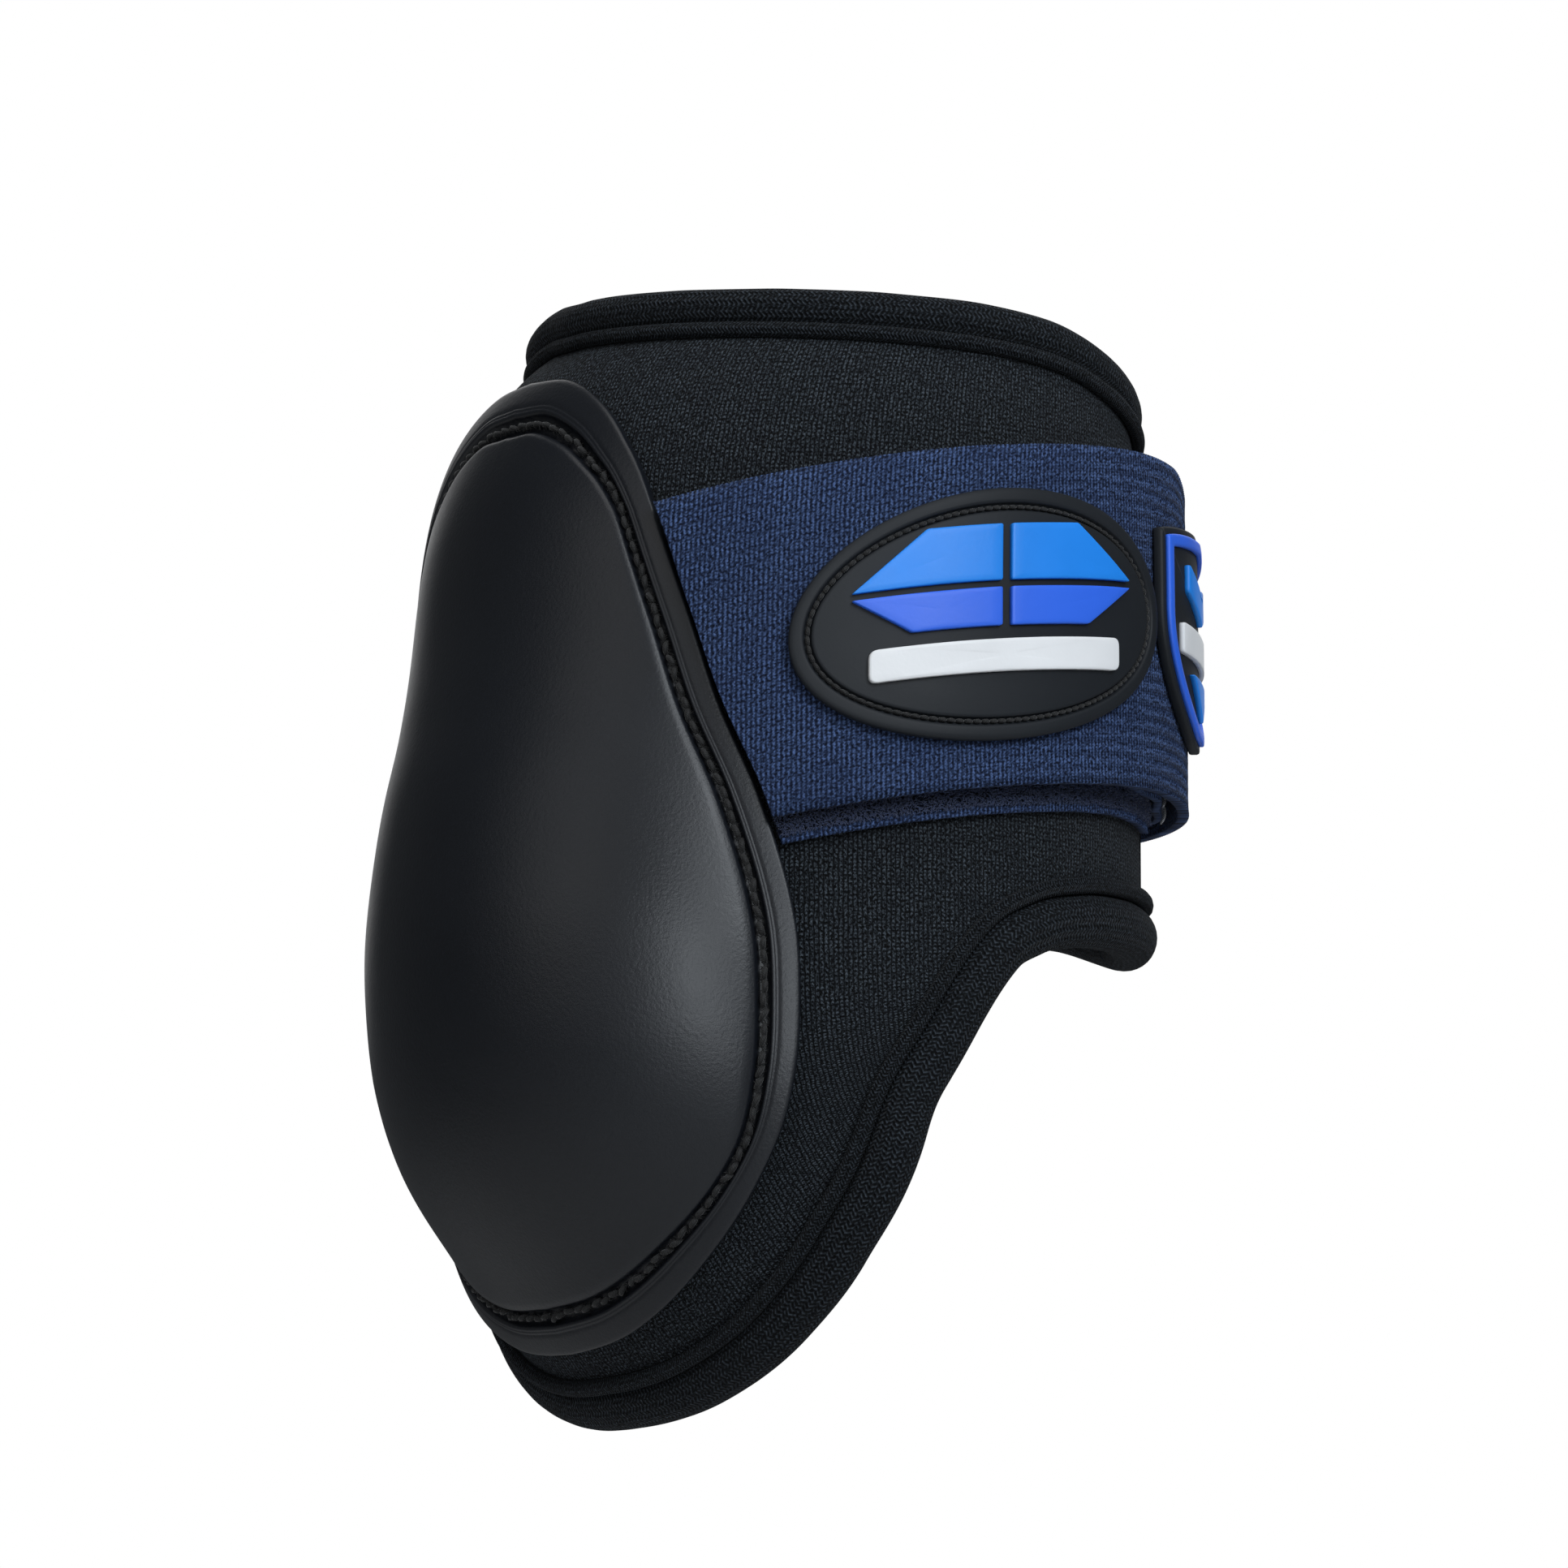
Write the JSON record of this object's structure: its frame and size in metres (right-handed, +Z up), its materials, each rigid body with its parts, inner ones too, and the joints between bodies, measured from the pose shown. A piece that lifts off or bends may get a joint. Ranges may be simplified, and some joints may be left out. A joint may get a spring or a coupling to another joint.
{
  "type": "fetlock boot",
  "caption": "Hind fetlock boot: knit-faced neoprene sleeve with a moulded strike guard over the back, rolled bindings, and one wide elastic strap with raised badges.",
  "frame": {"origin": "middle of the leg opening at the collar, on the axis of the leg", "axes": "+Z up along the leg, -Y the back of the leg where the strike guard is, +X the side that the strap lands on"},
  "size_m": [0.1097, 0.1173, 0.1573],
  "materials": {
    "guard": "matt moulded rubbery plastic with a faint satin sheen",
    "neoprene": "knit-faced neoprene",
    "binding": "zigzag-knit binding and thread",
    "lining": "smooth perforated lining",
    "foam": "soft foam",
    "strap": "ribbed elastic webbing",
    "loop": "brushed loop pile",
    "badge": "matt rubber",
    "azure": "matt rubber relief",
    "royal": "matt rubber relief",
    "white": "matt rubber relief"
  },
  "bodies": {
    "boot": {"strike_guard": "guard", "guard_stitching": "binding", "guard_foam": "foam", "sleeve_body": "neoprene", "sleeve_lining": "lining", "collar_roll": "binding", "collar_piping": "binding", "hem_roll": "binding", "hem_piping": "binding", "slit_binding": "binding", "loop_pad": "loop", "loop_selvedge": "strap"},
    "front_flap": {"flap_sleeve": "neoprene", "flap_lining": "lining", "flap_collar_roll": "binding", "flap_collar_piping": "binding", "flap_hem_roll": "binding", "flap_hem_piping": "binding", "flap_binding": "binding", "strap_anchor": "strap", "anchor_stitching_front": "strap", "anchor_stitching_rear": "strap"},
    "closing_strap": {"strap_elastic": "strap", "hook_tape": "loop", "strap_backing": "strap", "backing_tack": "white", "oval_badge": "badge", "oval_badge_stitching": "binding", "oval_facet_upper_left": "azure", "oval_facet_upper_right": "azure", "oval_facet_lower_left": "royal", "oval_facet_lower_right": "royal", "oval_bar": "white", "shield_badge": "badge", "shield_border": "royal", "shield_chevron": "azure", "shield_foot": "royal", "shield_bar": "white"}
  },
  "joints": [
    {"name": "flap_opening", "type": "hinge", "parent": "boot", "child": "front_flap", "pos_m": [-0.0493, -0.0264, -0.0595], "axis": [0, 0, 1], "range_deg": [0, 35]},
    {"name": "strap_opening", "type": "hinge", "parent": "front_flap", "child": "closing_strap", "pos_m": [-0.01986, 0.03866, -0.0366], "axis": [0, 0, 1], "range_deg": [0, 140]}
  ],
  "couplings": [
    {"joint": "flap_opening", "follows": "strap_opening", "ratio": 0.25}
  ]
}
